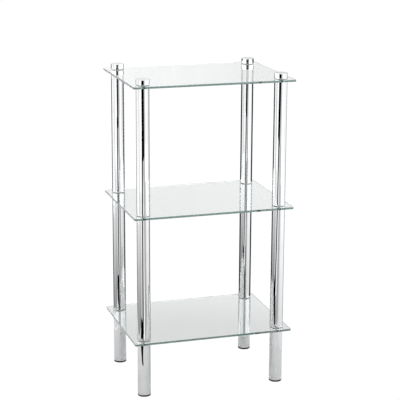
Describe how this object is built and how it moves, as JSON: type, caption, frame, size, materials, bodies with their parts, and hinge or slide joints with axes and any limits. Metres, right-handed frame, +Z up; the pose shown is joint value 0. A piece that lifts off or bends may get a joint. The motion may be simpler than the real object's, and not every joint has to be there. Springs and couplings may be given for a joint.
{
  "type": "bathroom shelving unit",
  "caption": "Free-standing bathroom rack with clear glass shelves clamped between round chrome tube posts, for toiletries and linen.",
  "frame": {"origin": "on the floor, in the middle of the four feet", "axes": "+Z up, +X along the shelves' width to the right as seen from the front, -Y towards the front"},
  "size_m": [0.4, 0.3, 0.7834],
  "materials": {
    "clear_glass": "clear toughened glass with ground and polished edges",
    "chrome": "bright chrome plate",
    "stud_steel": "zinc-plated thread",
    "washer_plastic": "soft milky plastic",
    "foot_plastic": "black moulded plastic"
  },
  "bodies": {
    "root": {"top_shelf": "clear_glass", "middle_shelf": "clear_glass", "bottom_shelf": "clear_glass", "front_left_cap": "chrome", "front_left_upper_tube": "chrome", "front_left_lower_tube": "chrome", "front_left_leg": "chrome", "front_left_foot_glide": "foot_plastic", "front_left_bottom_stud": "stud_steel", "front_left_bottom_collar_washer": "washer_plastic", "front_left_bottom_flat_washer": "washer_plastic", "front_left_middle_stud": "stud_steel", "front_left_middle_collar_washer": "washer_plastic", "front_left_middle_flat_washer": "washer_plastic", "front_left_top_stud": "stud_steel", "front_left_top_collar_washer": "washer_plastic", "front_left_top_flat_washer": "washer_plastic", "front_right_cap": "chrome", "front_right_upper_tube": "chrome", "front_right_lower_tube": "chrome", "front_right_leg": "chrome", "front_right_foot_glide": "foot_plastic", "front_right_bottom_stud": "stud_steel", "front_right_bottom_collar_washer": "washer_plastic", "front_right_bottom_flat_washer": "washer_plastic", "front_right_middle_stud": "stud_steel", "front_right_middle_collar_washer": "washer_plastic", "front_right_middle_flat_washer": "washer_plastic", "front_right_top_stud": "stud_steel", "front_right_top_collar_washer": "washer_plastic", "front_right_top_flat_washer": "washer_plastic", "rear_left_cap": "chrome", "rear_left_upper_tube": "chrome", "rear_left_lower_tube": "chrome", "rear_left_leg": "chrome", "rear_left_foot_glide": "foot_plastic", "rear_left_bottom_stud": "stud_steel", "rear_left_bottom_collar_washer": "washer_plastic", "rear_left_bottom_flat_washer": "washer_plastic", "rear_left_middle_stud": "stud_steel", "rear_left_middle_collar_washer": "washer_plastic", "rear_left_middle_flat_washer": "washer_plastic", "rear_left_top_stud": "stud_steel", "rear_left_top_collar_washer": "washer_plastic", "rear_left_top_flat_washer": "washer_plastic", "rear_right_cap": "chrome", "rear_right_upper_tube": "chrome", "rear_right_lower_tube": "chrome", "rear_right_leg": "chrome", "rear_right_foot_glide": "foot_plastic", "rear_right_bottom_stud": "stud_steel", "rear_right_bottom_collar_washer": "washer_plastic", "rear_right_bottom_flat_washer": "washer_plastic", "rear_right_middle_stud": "stud_steel", "rear_right_middle_collar_washer": "washer_plastic", "rear_right_middle_flat_washer": "washer_plastic", "rear_right_top_stud": "stud_steel", "rear_right_top_collar_washer": "washer_plastic", "rear_right_top_flat_washer": "washer_plastic"}
  },
  "joints": []
}
